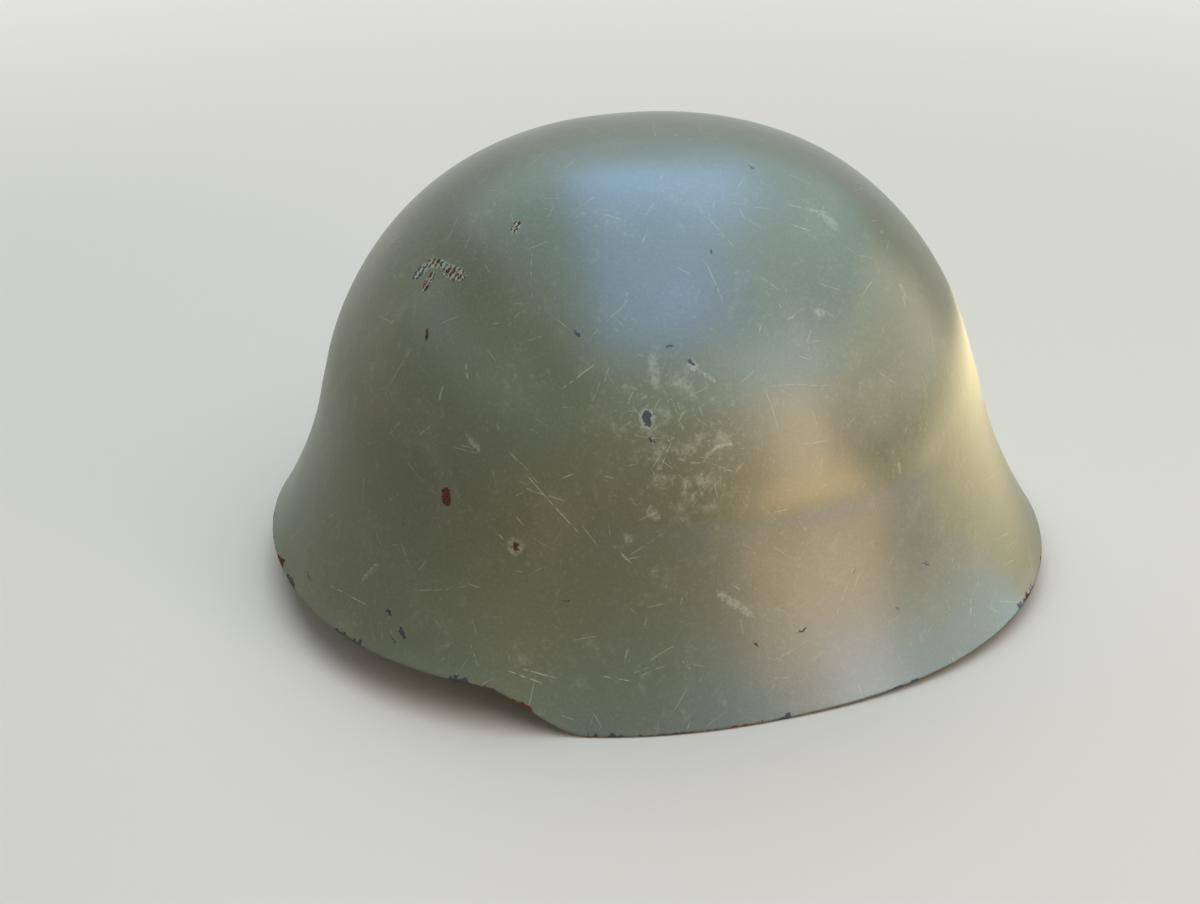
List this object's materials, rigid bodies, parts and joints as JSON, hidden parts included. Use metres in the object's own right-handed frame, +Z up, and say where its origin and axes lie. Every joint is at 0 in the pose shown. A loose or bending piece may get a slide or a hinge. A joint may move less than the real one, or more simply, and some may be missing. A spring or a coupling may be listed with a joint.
{
  "type": "combat helmet",
  "caption": "Two-piece combat helmet: pressed steel shell with a stepped, flared rim over a moulded liner with webbing suspension, sweatband and leather chinstrap.",
  "frame": {"origin": "middle of the helmet's footprint, on the plane its rim rests on", "axes": "+Z up through the crown, -Y towards the front of the wearer, +X towards the wearer's left"},
  "size_m": [0.2418, 0.2836, 0.16],
  "materials": {
    "shell_paint": "semi-gloss, worn",
    "loop_steel": "dull",
    "liner_resin": "matte",
    "washer_steel": "blackened",
    "rivet_steel": "dull",
    "webbing": "woven",
    "lace": "braided",
    "leather": "satin",
    "brass": "dull"
  },
  "bodies": {
    "liner": {"liner_shell": "liner_resin", "suspension_rivets": "rivet_steel", "a_washers": "washer_steel", "headband": "webbing", "crown_strap_front_left": "webbing", "crown_strap_side_left": "webbing", "crown_strap_back_left": "webbing", "crown_strap_back_right": "webbing", "crown_strap_side_right": "webbing", "crown_strap_front_right": "webbing", "crown_lace": "lace", "sweatband": "leather", "sweatband_clips": "rivet_steel", "sweatband_tab": "leather", "sweatband_buckle": "rivet_steel", "nape_strap": "webbing", "nape_studs": "rivet_steel", "front_eyelet": "brass", "chinstrap_stud_left": "rivet_steel", "chinstrap_stud_right": "rivet_steel"},
    "shell": {"steel_shell": "shell_paint", "loop_hinge_left": "shell_paint", "loop_hinge_right": "shell_paint"},
    "loop_left": {"wire_loop_left": "loop_steel"},
    "loop_right": {"wire_loop_right": "loop_steel"},
    "chinstrap": {"chinstrap_clip_left": "brass", "chinstrap_clip_right": "brass", "chinstrap_long": "leather", "chinstrap_short": "leather", "chinstrap_keeper": "leather", "chinstrap_tip": "brass", "chinstrap_buckle": "brass"},
    "lever": {"buckle_lever": "brass"}
  },
  "joints": [
    {"name": "shell_lift", "type": "slide", "parent": "liner", "child": "shell", "axis": [0, 0, 1], "range_m": [0, 0.17]},
    {"name": "loop_left_swing", "type": "hinge", "parent": "shell", "child": "loop_left", "pos_m": [0.10598, 0.02074, 0.02167], "axis": [0.108, -0.9941, 0], "range_deg": [-8, 24]},
    {"name": "loop_right_swing", "type": "hinge", "parent": "shell", "child": "loop_right", "pos_m": [-0.10598, 0.02074, 0.02167], "axis": [0.108, 0.9941, 0], "range_deg": [-8, 24]},
    {"name": "chinstrap_swing", "type": "hinge", "parent": "liner", "child": "chinstrap", "pos_m": [0, -0.00492, 0.024], "axis": [-1, 0, 0], "range_deg": [-8, 150]},
    {"name": "buckle_lever", "type": "hinge", "parent": "chinstrap", "child": "lever", "pos_m": [-0.05643, 0.07609, 0.01117], "axis": [0, -0.1564, -0.9877], "range_deg": [0, 100]}
  ]
}
